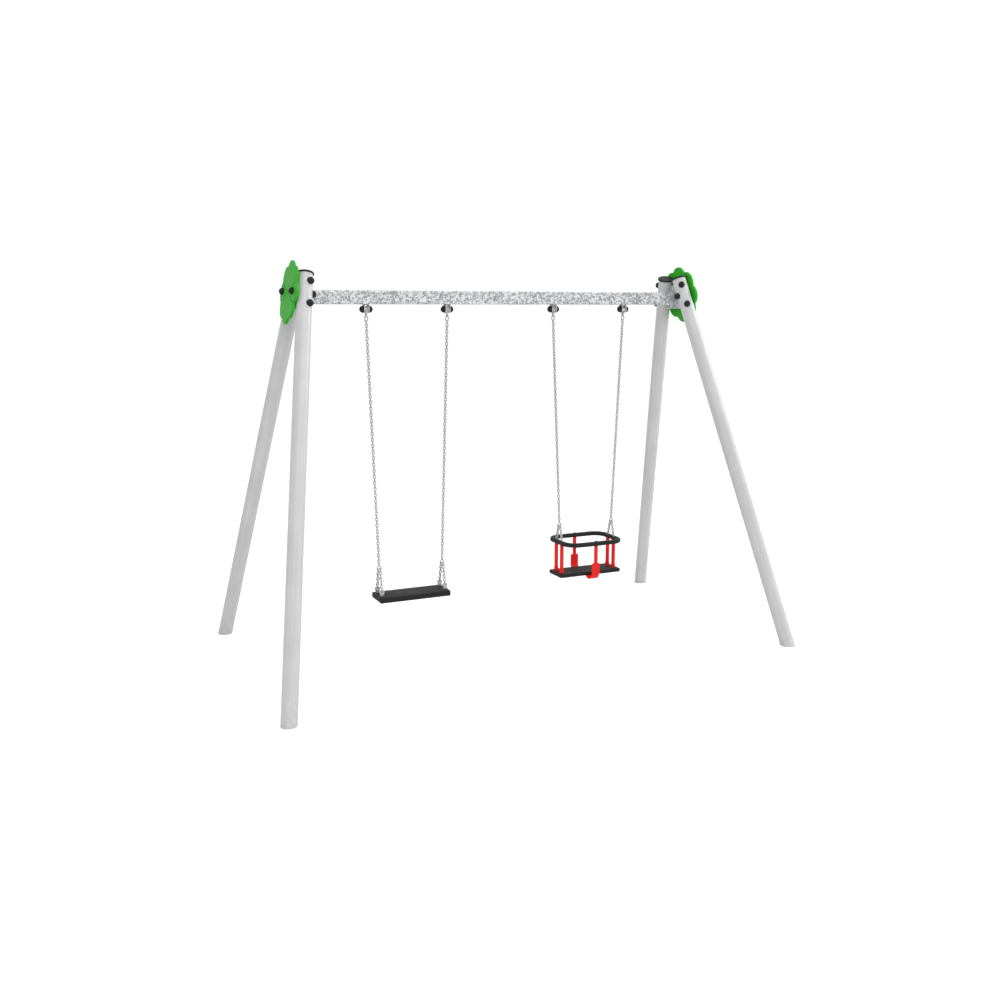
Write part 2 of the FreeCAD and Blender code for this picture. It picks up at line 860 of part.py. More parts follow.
def strand(top, bottom, top_wire, bottom_wire):
    """Taut chain between two wires that run along X: an odd number of links, quarter turns apart."""
    wire = size("wire")
    play = size("link_play")
    reach = top - bottom
    span = reach.Length
    down = (bottom - top).normalize()
    slack = (top_wire + bottom_wire) / 2 + play
    count = int(round((span + slack) / size("link_pitch")))
    if count % 2 == 0:
        count += 1 if (span + slack) / size("link_pitch") > count else -1
    pitch = (span + slack) / count
    length = pitch + 2 * wire + play
    shape = link_shape(length, size("link_width"), wire)
    first = (length - wire) / 2 - (top_wire + wire) / 2 - play
    flat_x = (Y_AXIS - down * Y_AXIS.dot(down)).normalize()
    turned_x = down.cross(flat_x)
    links = []
    for index in range(count):
        centre = top + down * (first + index * pitch)
        x_dir = flat_x if index % 2 == 0 else turned_x
        link = shape.copy()
        link.Placement = framed(centre, x_dir, down * -1)
        links.append(link)
    return links


def shackle_bottom(x):
    """Centre of the lower cross wire of the hanger shackle."""
    bend = size("shackle_width") / 2 - size("shackle_wire")
    bend_drop = bend - math.sqrt(bend * bend - (size("eye_thick") / 2) ** 2)
    rest = size("eye_hole") / 2 - size("shackle_wire") / 2 - size("link_play") - bend_drop
    top = eye_centre(x).z - rest
    return Vector(x, 0, top - (size("shackle_length") - size("shackle_wire")))


def hanger_shackle(name, x):
    """Oval joining ring between the bearing eye and the first chain link."""
    shape = link_shape(size("shackle_length"), size("shackle_width"), size("shackle_wire"))
    low = shackle_bottom(x)
    rise = (size("shackle_length") - size("shackle_wire")) / 2
    shape.Placement = Placement(low + Z_AXIS * rise, Rotation())
    keep(plain(shape), "hanger_shackle_" + name)


def triangle_ring(length, width, wire, shoulder, tight):
    """Wire ring with its tight end at the local origin and its straight bar at the top."""
    tall = length - wire
    half = (width - wire) / 2
    low = Vector(0, 0, tight)
    high = Vector(half - shoulder, 0, tall - shoulder)
    reach = high - low
    tilt = math.atan2(reach.x, reach.z) + math.asin((shoulder - tight) / reach.Length)
    normal = Vector(math.cos(tilt), 0, -math.sin(tilt))
    between = (normal + Z_AXIS).normalize()
    low_end = low + normal * tight
    high_end = high + normal * shoulder
    middle = high + between * shoulder
    top_right = high + Z_AXIS * shoulder

    def left(point):
        return Vector(-point.x, point.y, point.z)

    start = (low_end + high_end) * 0.5
    edges = [
        Part.LineSegment(start, high_end),
        Part.Arc(high_end, middle, top_right),
        Part.LineSegment(top_right, left(top_right)),
        Part.Arc(left(top_right), left(middle), left(high_end)),
        Part.LineSegment(left(high_end), left(low_end)),
        Part.Arc(left(low_end), ORIGIN, low_end),
        Part.LineSegment(low_end, start),
    ]
    return swept(edges, Part.makeCircle(wire / 2, start, high_end - low_end))


def joining_ring(x, apex_height):
    """Ring where the two seat strands meet: straight lower bar at apex_height, tight end up."""
    wire = size("joining_wire")
    shape = triangle_ring(
        size("joining_length"),
        size("joining_width"),
        wire,
        size("joining_shoulder"),
        wire + size("link_play"),
    )
    top = Vector(x, 0, apex_height + size("joining_length") - wire)
    shape.Placement = Placement(top, Rotation(X_AXIS, 180))
    return plain(shape)


def main_chain(name, hanger_x, apex_x, apex_height):
    """Long chain from the hanger shackle down to the joining ring."""
    top = shackle_bottom(hanger_x)
    bottom = Vector(apex_x, 0, apex_height + size("joining_length") - size("joining_wire"))
    links = strand(top, bottom, size("shackle_wire"), size("joining_wire"))
    keep(plain(Part.makeCompound(links)), "chain_" + name)


# ------------------------------------------------------------------ flat seat


def pin_height():
    return size("flat_seat_top") - size("seat_pin_sink")


def lug_bar_height():
    """Height of the middle of the bar above a lug's eye, where the chain hangs it."""
    return pin_height() + size("lug_rise") - size("lug_bar") / 2


def flat_corners():
    """The four lug places of the flat seat, left to right and front to back."""
    middle = -size("swing_offset")
    half = size("flat_chain_half")
    deep = size("seat_pin_half_depth")
    return [Vector(middle + sx * half, sy * deep, 0) for sx in (-1, 1) for sy in (-1, 1)]


def flat_seat_profile():
    """End view of the seat slab: level underside, upright edges, gently crowned top."""
    half = size("flat_seat_depth") / 2
    bottom = -size("flat_seat_thick")
    edge = -size("flat_seat_crown")
    return [
        Part.LineSegment(Vector(-half, bottom, 0), Vector(half, bottom, 0)),
        Part.LineSegment(Vector(half, bottom, 0), Vector(half, edge, 0)),
        Part.Arc(Vector(half, edge, 0), Vector(0, 0, 0), Vector(-half, edge, 0)),
        Part.LineSegment(Vector(-half, edge, 0), Vector(-half, bottom, 0)),
    ]


def flat_seat():
    """Rubber slab with four slots for the lugs and a slot inside for the steel plate."""
    middle = Vector(-size("swing_offset"), 0, size("flat_seat_top"))
    body = new_body()
    profile = outline(new_sketch(body, "YZ_Plane"), flat_seat_profile())
    pad(body, profile, "sizes.flat_seat_length")

    round_edges(body, lambda edge: True, "sizes.flat_seat_edge")
    body.Placement = Placement(middle, Rotation())
    play = size("slot_play")
    tools = []
    bottom = pin_height() - size("lug_foot") - play
    deep = size("lug_thick") + 2 * play
    wide = 2 * size("lug_foot") + 4 * play
    for corner in flat_corners():
        low = Vector(corner.x - wide / 2, corner.y - deep / 2, bottom)
        tools.append(block(str(wide), str(deep), "sizes.flat_seat_thick * 2", low))
        pin_start = Vector(corner.x, corner.y - size("seat_pin_length") / 2, pin_height())
        tools.append(rod("sizes.seat_pin", "sizes.seat_pin_length", facing(pin_start, Y_AXIS)))
    tools.append(seat_plate())
    keep(minus(body, *tools), "flat_seat")


def seat_plate():
    """Steel stiffener inside the flat seat, between the two pairs of pins."""
    half = size("flat_chain_half") - size("lug_foot") - 3 * size("slot_play") - size("lug_thick")
    deep = 2 * (size("seat_pin_half_depth") + size("plate_overlap"))
    low = Vector(-size("swing_offset") - half, -deep / 2, pin_height() - size("seat_plate_thick") / 2)
    return block(str(2 * half), str(deep), "sizes.seat_plate_thick", low)


def seat_lug():
    """Upright plate that tapers down to the round foot its pin goes through."""
    half = size("lug_width") / 2
    shoulder = size("lug_shoulder")
    foot = size("lug_foot")
    high = Vector(half - shoulder, size("lug_rise") - shoulder, 0)
    tilt = math.atan2(high.x, high.y) - math.asin((foot - shoulder) / high.Length)
    normal = Vector(math.cos(tilt), -math.sin(tilt), 0)
    low_end = normal * foot
    high_end = high + normal * shoulder
    middle = high + (normal + Y_AXIS).normalize() * shoulder
    top = high + Y_AXIS * shoulder

    def left(point):
        return Vector(-point.x, point.y, 0)

    edges = [
        Part.LineSegment(low_end, high_end),
        Part.Arc(high_end, middle, top),
        Part.LineSegment(top, left(top)),
        Part.Arc(left(top), left(middle), left(high_end)),
        Part.LineSegment(left(high_end), left(low_end)),
        Part.Arc(left(low_end), Vector(0, -foot, 0), low_end),
    ]
    body = new_body()
    pad(body, outline(new_sketch(body, "XZ_Plane"), edges), "sizes.lug_thick")
    holes = new_sketch(body, "XZ_Plane")
    circle(holes, 0, 0, "sizes.seat_pin")
    eye_rise = size("lug_rise") - size("lug_bar") - size("lug_eye") / 2
    circle(holes, 0, eye_rise, "sizes.lug_eye")
    pocket(body, holes, "4 * sizes.lug_thick", True)
    return body


def flat_seat_hardware():
    pins = []
    lugs = []
    for corner in flat_corners():
        start = Vector(corner.x, corner.y - size("seat_pin_length") / 2, pin_height())
        pins.append(rod("sizes.seat_pin", "sizes.seat_pin_length", facing(start, Y_AXIS)))
        lug = seat_lug()
        lug.Placement = Placement(at_height(corner, pin_height()), Rotation())
        lugs.append(lug)
    group(pins, "flat_seat_pins")
    group(lugs, "flat_seat_lugs")
    keep(seat_plate(), "flat_seat_plate")


def seat_chain(name, x, apex_height, foot_depth, foot_height, foot_wire):
    """Front and rear strands from the joining ring down to the two hooks of one side."""
    links = []
    for sign in (-1, 1):
        top = Vector(x - sign * size("strand_offset"), 0, apex_height)
        bottom = Vector(x, sign * foot_depth, foot_height)
        links += strand(top, bottom, size("joining_wire"), foot_wire)
    keep(plain(Part.makeCompound(links)), "seat_chain_" + name)


# ------------------------------------------------------------------ cradle seat


def rounded_loop(half_x, half_y, corner, height):
    """Level rounded rectangle about the cradle's middle, starting at its right side."""
    slope = corner * (1 - math.sqrt(0.5))
    inner_x = half_x - corner
    inner_y = half_y - corner

    def at(x, y):
        return Vector(size("swing_offset") + x, y, height)

    return [
        Part.LineSegment(at(half_x, 0), at(half_x, inner_y)),
        Part.Arc(at(half_x, inner_y), at(half_x - slope, half_y - slope), at(inner_x, half_y)),
        Part.LineSegment(at(inner_x, half_y), at(-inner_x, half_y)),
        Part.Arc(at(-inner_x, half_y), at(slope - half_x, half_y - slope), at(-half_x, inner_y)),
        Part.LineSegment(at(-half_x, inner_y), at(-half_x, -inner_y)),
        Part.Arc(at(-half_x, -inner_y), at(slope - half_x, slope - half_y), at(-inner_x, -half_y)),
        Part.LineSegment(at(-inner_x, -half_y), at(inner_x, -half_y)),
        Part.Arc(at(inner_x, -half_y), at(half_x - slope, slope - half_y), at(half_x, -inner_y)),
        Part.LineSegment(at(half_x, -inner_y), at(half_x, 0)),
    ]


def rounded_section(wide, tall, corner, centre):
    """Rounded rectangle in the XZ plane about a centre point."""
    half_x = wide / 2
    half_z = tall / 2
    slope = corner * (1 - math.sqrt(0.5))

    def at(x, z):
        return centre + Vector(x, 0, z)

    edges = []
    for sx, sz in ((1, 1), (-1, 1), (-1, -1), (1, -1)):
        ends = [
            at(sx * half_x, sz * (half_z - corner)),
            at(sx * (half_x - slope), sz * (half_z - slope)),
            at(sx * (half_x - corner), sz * half_z),
        ]
        if sx * sz < 0:
            ends.reverse()
        edges.append(Part.Arc(*ends))
    straights = [
        Part.LineSegment(edges[i].EndPoint, edges[(i + 1) % 4].StartPoint) for i in range(4)
    ]
    ring = [edge for pair in zip(edges, straights) for edge in pair]
    return [edge.toShape() for edge in ring]


def corner_points(x_half, y_half):
    """Four points about the cradle's middle, left to right and front to back."""
    middle = size("swing_offset")
    return [Vector(middle + sx * x_half, sy * y_half, 0) for sx in (-1, 1) for sy in (-1, 1)]


def at_height(point, height):
    return Vector(point.x, point.y, height)


def ring_top():
    return size("ring_height") + size("ring_tall") / 2


def ring_under():
    return size("ring_height") - size("ring_tall") / 2


def tie_eye_height():
    """Centre of the upper wire of the eyes sunk in the grab ring."""
    return ring_top() - size("tie_eye_sink")


def seat_under():
    return size("cradle_seat_top") - size("cradle_seat_thick")


def cradle_frame():
    """Welded steel inside the cradle: hoop, four tie rods with eyes, two stems."""
    ties = corner_points(size("cradle_chain_half"), size("tie_half_depth"))
    hoop_height = size("ring_height") - size("hoop_drop")
    edges = rounded_loop(
        size("cradle_chain_half"),
        size("stem_half_depth"),
        size("ring_corner") - size("ring_offset"),
        hoop_height,
    )
    start = Vector(size("swing_offset") + size("cradle_chain_half"), 0, hoop_height)
    pieces = [plain(swept(edges, Part.makeCircle(size("hoop_wire") / 2, start, Y_AXIS)))]
    eye_wide = size("tie_eye_width")
    eye = link_shape(eye_wide + NEAR, eye_wide, size("eye_wire"))
    eye_low = tie_eye_height() - (eye_wide - size("eye_wire"))
    low = seat_under() - size("seat_nut_thick") - size("bolt_tail")
    for tie in ties:
        pieces.append(rod("sizes.tie_rod", str(eye_low - low), facing(at_height(tie, low), Z_AXIS)))
        ring = eye.copy()
        ring.Placement = Placement(at_height(tie, (eye_low + tie_eye_height()) / 2), Rotation())
        pieces.append(plain(ring))
    for stem in corner_points(0, size("stem_half_depth"))[:2]:
        foot = size("paddle_top") - size("paddle_width") / 2
        pieces.append(rod("sizes.tie_rod", str(ring_top() - foot), facing(at_height(stem, foot), Z_AXIS)))
    return keep(joined(*pieces), "cradle_frame")


def grab_ring(frame):
    """Rubber ring moulded round the hoop, with a slot down to each eye."""
    half_x = size("cradle_chain_half") + size("ring_offset")
    half_y = size("stem_half_depth") + size("ring_offset")
    edges = rounded_loop(half_x, half_y, size("ring_corner"), size("ring_height"))
    start = Vector(size("swing_offset") + half_x, 0, size("ring_height"))
    section = rounded_section(size("ring_wide"), size("ring_tall"), size("ring_round"), start)
    rubber = plain(swept(edges, section))
    tools = [frame]
    for tie in corner_points(size("cradle_chain_half"), size("tie_half_depth")):
        low = at_height(tie, ring_top() - size("well_deep"))
        low = low - Vector(size("well_wide") / 2, size("well_long") / 2, 0)
        tools.append(block("sizes.well_wide", "sizes.well_long", "2 * sizes.well_deep", low))
    keep(minus(rubber, *tools), "grab_ring")


def side_sleeves(side, frame):
    """Front and rear red sleeves over the tie rods of one side, with a collar at the seat."""
    seat_top = size("cradle_seat_top")
    tall = ring_under() - seat_top
    sleeves = []
    ties = corner_points(size("cradle_chain_half"), size("tie_half_depth"))
    for tie in (ties[:2] if side == "left" else ties[2:]):
        foot = facing(at_height(tie, seat_top), Z_AXIS)
        sleeve = rod("sizes.sleeve_diameter", str(tall), foot)
        collar = rod("sizes.sleeve_collar", "sizes.sleeve_collar_tall", foot)
        sleeves.append(minus(joined(sleeve, collar), frame))
    group(sleeves, "side_sleeves_" + side)


def paddle_under():
    """Height of the underside of the paddle ends below the seat."""
    return seat_under() - size("paddle_drop") - size("paddle_thick")


def paddle_profile(lift):
    """Side view of the front paddle: upright strip curled back to a block under the seat."""
    thick = size("paddle_thick")
    bend = size("paddle_bend")
    front = -size("stem_half_depth") - thick / 2
    low = paddle_under()
    centre = Vector(front + bend, low + bend, 0)
    slope = math.sqrt(0.5)
    top = size("paddle_top")
    end = centre.x + size("paddle_tuck")
    block_start = end - size("paddle_block")
    slope_start = end - size("paddle_slope")
    inner = bend - thick
    points = [
        Vector(front, top, 0),
        Vector(front, centre.y, 0),
        Vector(centre.x - bend * slope, centre.y - bend * slope, 0),
        Vector(centre.x, low, 0),
        Vector(slope_start, low, 0),
        Vector(end, low + size("paddle_slope_rise"), 0),
        Vector(end, seat_under(), 0),
        Vector(block_start, seat_under(), 0),
        Vector(block_start, low + thick, 0),
        Vector(centre.x, low + thick, 0),
        Vector(centre.x - inner * slope, centre.y - inner * slope, 0),
        Vector(front + thick, centre.y, 0),
        Vector(front + thick, top, 0),
    ]
    points = [point - Vector(0, lift, 0) for point in points]
    return [
        Part.LineSegment(points[0], points[1]),
        Part.Arc(points[1], points[2], points[3]),
        Part.LineSegment(points[3], points[4]),
        Part.LineSegment(points[4], points[5]),
        Part.LineSegment(points[5], points[6]),
        Part.LineSegment(points[6], points[7]),
        Part.LineSegment(points[7], points[8]),
        Part.LineSegment(points[8], points[9]),
        Part.Arc(points[9], points[10], points[11]),
        Part.LineSegment(points[11], points[12]),
        Part.LineSegment(points[12], points[0]),
    ]


def paddle_screw_place():
    """Seat of the screw head in the sink below the front paddle's block."""
    turn = -size("stem_half_depth") - size("paddle_thick") / 2 + size("paddle_bend")
    y = turn + size("paddle_tuck") - size("paddle_block") / 2
    return Vector(size("swing_offset"), y, paddle_under() + size("paddle_thick"))


def front_paddle(frame):
    """Red upright tube over a flat strip that curls to a thick end below the seat."""
    lift = size("seat_mid_height")
    body = new_body()
    pad(body, outline(new_sketch(body, "YZ_Plane"), paddle_profile(lift)), "sizes.paddle_width")

    def long_rim(edge):
        middle = size("paddle_width") / 2
        return abs(abs(edge.CenterOfMass.x) - middle) < NEAR

    round_edges(body, long_rim, "sizes.paddle_round")
    body.Placement = Placement(Vector(size("swing_offset"), 0, lift), Rotation())
    stem = corner_points(0, size("stem_half_depth"))[0]
    overlap = size("paddle_thick")
    foot = at_height(stem, size("paddle_top") - overlap)
    tube = rod("sizes.sleeve_diameter", str(ring_under() - foot.z), facing(foot, Z_AXIS))
    hole = rod("sizes.screw_diameter", "sizes.screw_length", facing(paddle_screw_place(), Z_AXIS))
    sink_wide = "sizes.screw_head + 2 * sizes.bolt_clearance"
    sink = rod(sink_wide, "2 * sizes.paddle_thick", facing(paddle_screw_place(), Z_AXIS * -1))
    return minus(joined(body, tube), frame, hole, sink)


def cradle_seat(frame, plate):
    """Rubber seat slab drilled from below for the two paddle screws."""
    body = new_body()
    long = "sizes.cradle_seat_length"
    deep = "sizes.cradle_seat_depth"
    pad(body, rectangle(new_sketch(body, "XY_Plane"), long, deep), "sizes.cradle_seat_thick")
    round_edges(body, runs_along(Z_AXIS), "sizes.seat_corner")
    top = size("cradle_seat_thick") / 2

    def rim(edge):
        return abs(abs(edge.CenterOfMass.z) - top) < NEAR

    round_edges(body, rim, "sizes.seat_edge")
    middle = Vector(size("swing_offset"), 0, size("cradle_seat_top") - top)
    body.Placement = Placement(middle, Rotation())
    hole = rod("sizes.screw_diameter", "sizes.screw_length", facing(paddle_screw_place(), Z_AXIS))
    return minus(body, frame, plate, hole, mirrored(hole, Y_AXIS))


def cradle_plate_blank():
    """Steel stiffener inside the cradle seat."""
    half_x = size("cradle_chain_half") + size("plate_margin")
    half_y = size("tie_half_depth") + size("plate_margin")
    height = size("cradle_seat_top") - size("cradle_seat_thick") / 2
    low = Vector(size("swing_offset") - half_x, -half_y, height - size("seat_plate_thick") / 2)
    return block(str(2 * half_x), str(2 * half_y), "sizes.seat_plate_thick", low)


def paddle_screws():
    """Round-headed screws that hold the two paddles up to the seat."""
    place = paddle_screw_place()
    shank = rod("sizes.screw_diameter", "sizes.screw_length", facing(place, Z_AXIS))
    head_low = place - Z_AXIS * size("screw_head_thick")
    head = rod("sizes.screw_head", "sizes.screw_head_thick", facing(head_low, Z_AXIS))
    screw = joined(shank, head)
    group([screw, mirrored(screw, Y_AXIS)], "paddle_screws")


def tie_nuts():
    """Nuts below the seat on the threaded ends of the tie rods."""
    nuts = []
    for tie in corner_points(size("cradle_chain_half"), size("tie_half_depth")):
        seat = at_height(tie, seat_under())
        body = doc.addObject("Part::Prism", "hex")
        body.Polygon = 6
        bind(body, Circumradius="sizes.seat_nut_flats / sqrt(3)", Height="sizes.seat_nut_thick")
        body.Placement = facing(seat, Z_AXIS * -1)
        hole = rod("sizes.tie_rod", "sizes.seat_nut_thick", facing(seat, Z_AXIS * -1))
        nuts.append(minus(body, hole))
    group(nuts, "tie_rod_nuts")


def ring_caps():
    """Small domed caps over the stem tops, front and rear of the grab ring."""
    radius = size("ring_cap") / 2
    rise = size("ring_cap_rise")
    ball_radius = (radius * radius + rise * rise) / (2 * rise)
    caps = []
    for stem in corner_points(0, size("stem_half_depth"))[:2]:
        ball = doc.addObject("Part::Sphere", "dome")
        ball.Radius = ball_radius
        ball.Angle1 = math.degrees(math.asin(1 - rise / ball_radius))
        ball.Angle2 = 90
        ball.Placement = Placement(at_height(stem, ring_top() + rise - ball_radius), Rotation())
        caps.append(ball)
    group(caps, "ring_caps")


# ------------------------------------------------------------------ assembly


def build():
    four_corners(leg_blank(), "leg")
    four_corners(leg_cap_blank(), "leg_cap")
    crossbeam()
    bracket = keep(end_bracket_blank(), "end_bracket_right")
    keep(mirrored(bracket, X_AXIS), "end_bracket_left")
    panel = keep(flower_panel_blank(), "flower_panel_right")
    keep(mirrored(panel, X_AXIS), "flower_panel_left")
    nuts = bracket_fasteners() + panel_fasteners() + pivot_fasteners()
    group(nuts, "lock_nuts")
    for name, x in HANGERS.items():
        hanger_bracket(name, x)
        pivot_bearing(name, x)
        hanger_shackle(name, x)
    for swing in ("flat", "cradle"):
        bushes = [pivot_bush(x) for name, x in HANGERS.items() if name.startswith(swing)]
        group(bushes, "pivot_bushes_" + swing)
    for swing, middle in (("flat", -size("swing_offset")), ("cradle", size("swing_offset"))):
        half = size(swing + "_chain_half")
        apex = size(swing + "_apex_height")
        rings = []
        for side, sign in (("left", -1), ("right", 1)):
            name = swing + "_" + side
            x = middle + sign * half
            main_chain(name, HANGERS[name], x, apex)
            rings.append(joining_ring(x, apex))
            if swing == "flat":
                deep = size("seat_pin_half_depth")
                seat_chain(name, x, apex, deep, lug_bar_height(), size("lug_bar_grip"))
            else:
                deep = size("tie_half_depth")
                seat_chain(name, x, apex, deep, tie_eye_height(), size("eye_wire"))
        group(rings, "joining_rings_" + swing)
    flat_seat()
    flat_seat_hardware()
    frame = cradle_frame()
    grab_ring(frame)
    side_sleeves("left", frame)
    side_sleeves("right", frame)
    paddle = keep(front_paddle(frame), "front_paddle")
    keep(mirrored(paddle, Y_AXIS), "rear_paddle")
    plate = minus(cradle_plate_blank(), frame)
    keep(cradle_seat(frame, cradle_plate_blank()), "cradle_seat")
    keep(plate, "cradle_seat_plate")
    paddle_screws()
    tie_nuts()
    ring_caps()


def check():
    """Every object recomputed and every finished piece sound."""
    doc.recompute()
    for item in doc.Objects:
        if "Invalid" in item.State or "Error" in item.State:
            raise RuntimeError("%s (%s) did not recompute" % (item.Name, item.Label))
    for item in finished:
        if item.Shape.isNull() or not item.Shape.isValid():
            raise RuntimeError("%s has no sound shape" % item.Label)


def export():
    os.makedirs("parts", exist_ok=True)
    for item in finished:
        item.Shape.exportStep(os.path.join("parts", item.Label + ".step"))


build()
check()
export()
print("pieces written: %d" % len(finished))
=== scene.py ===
import json
import math

import bmesh
import bpy
import numpy as np
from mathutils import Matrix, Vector, noise


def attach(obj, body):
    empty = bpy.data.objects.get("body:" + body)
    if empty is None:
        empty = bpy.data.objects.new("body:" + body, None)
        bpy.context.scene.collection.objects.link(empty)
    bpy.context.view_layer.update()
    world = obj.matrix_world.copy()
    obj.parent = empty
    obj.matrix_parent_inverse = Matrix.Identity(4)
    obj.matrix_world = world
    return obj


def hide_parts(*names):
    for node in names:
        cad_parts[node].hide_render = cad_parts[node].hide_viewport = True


# Looks of a two-bay public swing set: painted legs, galvanised beam and chain, green end
# panels, black rubber seats and red moulded uprights.  Metres, in the frame of the CAD.

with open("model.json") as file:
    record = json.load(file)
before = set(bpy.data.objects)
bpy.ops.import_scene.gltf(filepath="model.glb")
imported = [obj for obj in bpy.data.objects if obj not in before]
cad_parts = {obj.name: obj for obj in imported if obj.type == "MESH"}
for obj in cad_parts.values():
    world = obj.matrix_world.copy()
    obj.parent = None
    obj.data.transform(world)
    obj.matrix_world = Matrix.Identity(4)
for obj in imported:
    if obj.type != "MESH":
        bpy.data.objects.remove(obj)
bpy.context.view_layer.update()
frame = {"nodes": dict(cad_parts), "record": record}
nodes = frame["nodes"]
bodies = frame["record"]["behaviour"]["bodies"]

# ------------------------------------------------------------------ camera, floor and light

CAMERA_PLACE = (-2.7889, -6.0632, 2.1187)
CAMERA_HEADING = math.radians(24.633)
CAMERA_DIP = math.radians(10.193)
CAMERA_LENS = 38.39
CAMERA_SENSOR = 36.0

FLOOR_HALF = 60.0
FLOOR_GREY = (0.72, 0.72, 0.72, 1.0)
FLOOR_LIFT = 0.5
SKY_WHITE = 1.06
SKY_LIGHT = 0.81
SKY_LEFT_SHARE = 0.82


def make_camera():
    """Camera in front of the flat swing, turned a little to the right and down."""
    lens = bpy.data.cameras.new("camera")
    lens.lens = CAMERA_LENS
    lens.sensor_width = CAMERA_SENSOR
    lens.clip_end = 4 * FLOOR_HALF
    camera = bpy.data.objects.new("camera", lens)
    camera.location = CAMERA_PLACE
    camera.rotation_euler = (math.pi / 2 - CAMERA_DIP, 0.0, -CAMERA_HEADING)
    bpy.context.scene.collection.objects.link(camera)
    bpy.context.scene.camera = camera


def soft_light(name, place, target, side, power):
    """Square studio panel at a place, facing a target point."""
    panel = bpy.data.lights.new(name, "AREA")
    panel.shape = "SQUARE"
    panel.size = side
    panel.energy = power
    lamp = bpy.data.objects.new(name, panel)
    lamp.location = place
    aim = Vector(target) - Vector(place)
    lamp.rotation_euler = aim.to_track_quat("-Z", "Y").to_euler()
    bpy.context.scene.collection.objects.link(lamp)


def make_studio():
    """White backdrop, a sky that is dimmer on the left, and three soft panels."""
    bpy.context.scene.view_settings.view_transform = "Standard"
    world = bpy.data.worlds.new("studio")
    world.use_nodes = True
    tree = world.node_tree
    seen = put(tree, "ShaderNodeLightPath").outputs["Is Camera Ray"]
    ray = put(tree, "ShaderNodeTexCoord").outputs["Generated"]
    across = put(tree, "ShaderNodeSeparateXYZ", {0: ray}).outputs["X"]
    glow = remap(tree, across, -0.9, 0.3, SKY_LIGHT * SKY_LEFT_SHARE, SKY_LIGHT)
    unseen = calc(tree, "MULTIPLY", calc(tree, "SUBTRACT", 1.0, seen), glow)
    strength = calc(tree, "ADD", calc(tree, "MULTIPLY", seen, SKY_WHITE), unseen)
    tree.links.new(strength, tree.nodes["Background"].inputs["Strength"])
    tree.nodes["Background"].inputs["Color"].default_value = (1.0, 1.0, 1.0, 1.0)
    bpy.context.scene.world = world
    soft_light("key_panel", place=(-2.5, -7.0, 7.5), target=(0.0, 0.0, 1.2), side=5.0, power=172.0)
    soft_light("right_panel", place=(7.0, -1.0, 5.5), target=(0.0, 0.0, 1.4), side=4.0, power=220.0)
    soft_light("back_panel", place=(-1.0, 7.0, 6.0), target=(0.0, 0.0, 1.2), side=4.0, power=50.0)


# ------------------------------------------------------------------ shader building blocks


def put(tree, kind, inputs=None, **settings):
    """Add a node, set its options, and link or fill its inputs."""
    node = tree.nodes.new(kind)
    for name, value in settings.items():
        setattr(node, name, value)
    for key, value in (inputs or {}).items():
        if isinstance(value, bpy.types.NodeSocket):
            tree.links.new(value, node.inputs[key])
        else:
            node.inputs[key].default_value = value
    return node


def calc(tree, operation, first, second=0.0, clamp=False):
    inputs = {0: first, 1: second}
    return put(tree, "ShaderNodeMath", inputs, operation=operation, use_clamp=clamp).outputs[0]


def remap(tree, value, low, high, new_low=0.0, new_high=1.0):
    """Value from low..high carried smoothly to new_low..new_high."""
    inputs = {"Value": value, "From Min": low, "From Max": high, "To Min": new_low, "To Max": new_high}
    return put(tree, "ShaderNodeMapRange", inputs, interpolation_type="SMOOTHSTEP").outputs[0]


def blend(tree, share, first, second):
    """Colour mix: share 0 gives first, 1 gives second."""
    return put(tree, "ShaderNodeMix", {0: share, 6: first, 7: second}, data_type="RGBA").outputs[2]


def noise_value(tree, vector, scale, detail=3.0, rough=0.5):
    inputs = {"Vector": vector, "Scale": scale, "Detail": detail, "Roughness": rough}
    return put(tree, "ShaderNodeTexNoise", inputs).outputs["Fac"]


def new_group(name, inputs, outputs):
    """Empty node group; sockets are given as name: (kind, value) and name: kind."""
    tree = bpy.data.node_groups.new(name, "ShaderNodeTree")
    for socket, (kind, value) in inputs.items():
        made = tree.interface.new_socket(socket, in_out="INPUT", socket_type="NodeSocket" + kind)
        if value is not None:
            made.default_value = value
    for socket, kind in outputs.items():
        tree.interface.new_socket(socket, in_out="OUTPUT", socket_type="NodeSocket" + kind)
    return tree, tree.nodes.new("NodeGroupInput").outputs


def close_group(tree, **results):
    end = tree.nodes.new("NodeGroupOutput")
    for socket, value in results.items():
        tree.links.new(value, end.inputs[socket.replace("_", " ")])
    return tree


